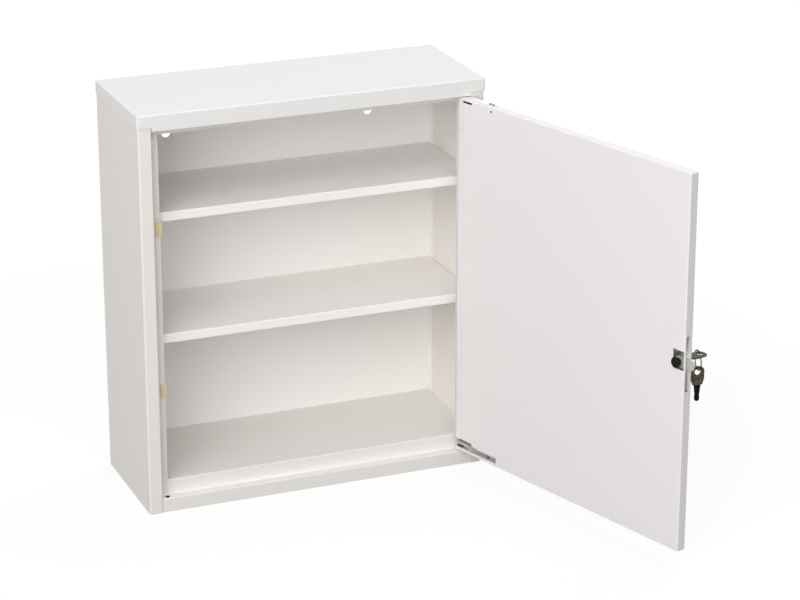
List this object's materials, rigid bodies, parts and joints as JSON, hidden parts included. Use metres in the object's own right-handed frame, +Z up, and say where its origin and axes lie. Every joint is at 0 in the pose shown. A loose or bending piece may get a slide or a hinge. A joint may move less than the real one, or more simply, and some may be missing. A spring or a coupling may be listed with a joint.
{
  "type": "lockable medicine cabinet",
  "caption": "Wall-hung sheet-steel medicine cabinet with fixed shelves and an inset door that turns on pivot pins and locks with a key-operated cam.",
  "frame": {"origin": "midway between the two wall holes, on the rear plane of the cabinet that lies against the wall", "axes": "+Z up; +Y backwards into the wall, so the front faces -Y; +X to the viewer's right when facing the front. The door's hinge is on the +X side."},
  "size_m": [0.621, 0.5982, 0.55],
  "materials": {
    "lid_paint": "satin off-white powder coat",
    "carcass_paint": "satin pale warm grey powder coat",
    "back_paint": "satin pale warm grey powder coat",
    "floor_paint": "satin pale warm grey powder coat",
    "shelf_paint": "satin pale warm grey powder coat",
    "door_paint": "satin off-white powder coat",
    "liner_paint": "satin off-white powder coat",
    "zinc": "zinc-plated steel",
    "bright_steel": "bright plated steel",
    "spring_steel": "dark spring steel",
    "screw_steel": "dark plated steel",
    "lock_metal": "satin nickel plate",
    "cam_metal": "grey plated steel",
    "cap_black": "black, slightly glossy",
    "key_dark": "dark nickel, worn",
    "key_bronze": "worn bronze",
    "key_steel": "dark worn steel",
    "ring_steel": "dark split ring",
    "buffer_pad": "tan soft pad"
  },
  "bodies": {
    "cabinet": {"lid": "lid_paint", "side_left": "carcass_paint", "side_right": "carcass_paint", "back_panel": "back_paint", "floor_tray": "floor_paint", "base_plate": "carcass_paint", "top_channel": "carcass_paint", "shelf_upper": "shelf_paint", "shelf_lower": "shelf_paint", "shelf_rests": "carcass_paint", "bearing_plate_lower": "zinc", "bearing_plate_upper": "zinc", "thrust_washer": "zinc", "hole_plug": "cap_black", "buffers": "buffer_pad"},
    "door": {"door_skin": "door_paint", "door_liner": "liner_paint", "door_stiffener": "zinc", "strap_upper": "door_paint", "strap_lower": "zinc", "pin_upper": "bright_steel", "pin_spring": "spring_steel", "strap_screws": "screw_steel", "liner_rivet": "screw_steel", "lock_body": "lock_metal", "lock_nut": "zinc"},
    "hinge_pin": {"pin_lower": "bright_steel"},
    "plug": {"lock_plug": "lock_metal", "cam": "cam_metal", "cam_cap": "cap_black", "key_blade": "key_steel", "key_bow": "key_dark"},
    "ring": {"key_ring": "ring_steel"},
    "spare_key": {"spare_bow": "key_bronze", "spare_blade": "key_steel"}
  },
  "joints": [
    {"name": "door_hinge", "type": "hinge", "parent": "cabinet", "child": "door", "pos_m": [0.212, -0.1777, 0], "axis": [0, 0, 1], "range_deg": [-107.5, 0]},
    {"name": "pin_lift", "type": "slide", "parent": "door", "child": "hinge_pin", "axis": [0, 0, 1], "range_m": [0, 0.0044], "stiffness_N_per_m": 300, "springref_m": -0.01, "deforming": ["pin_spring"]},
    {"name": "lock_turn", "type": "hinge", "parent": "door", "child": "plug", "pos_m": [0.33649, -0.57254, -0.191], "axis": [-0.9537, -0.3007, 0], "range_deg": [0, 90]},
    {"name": "ring_swing", "type": "hinge", "parent": "plug", "child": "ring", "pos_m": [0.37163, -0.55678, -0.195], "axis": [0.9869, -0.1616, 0], "range_deg": [0, 95]},
    {"name": "spare_swing", "type": "hinge", "parent": "ring", "child": "spare_key", "pos_m": [0.37191, -0.5551, -0.2142], "axis": [0.1616, 0.9869, 0], "range_deg": [-40, 40]}
  ]
}
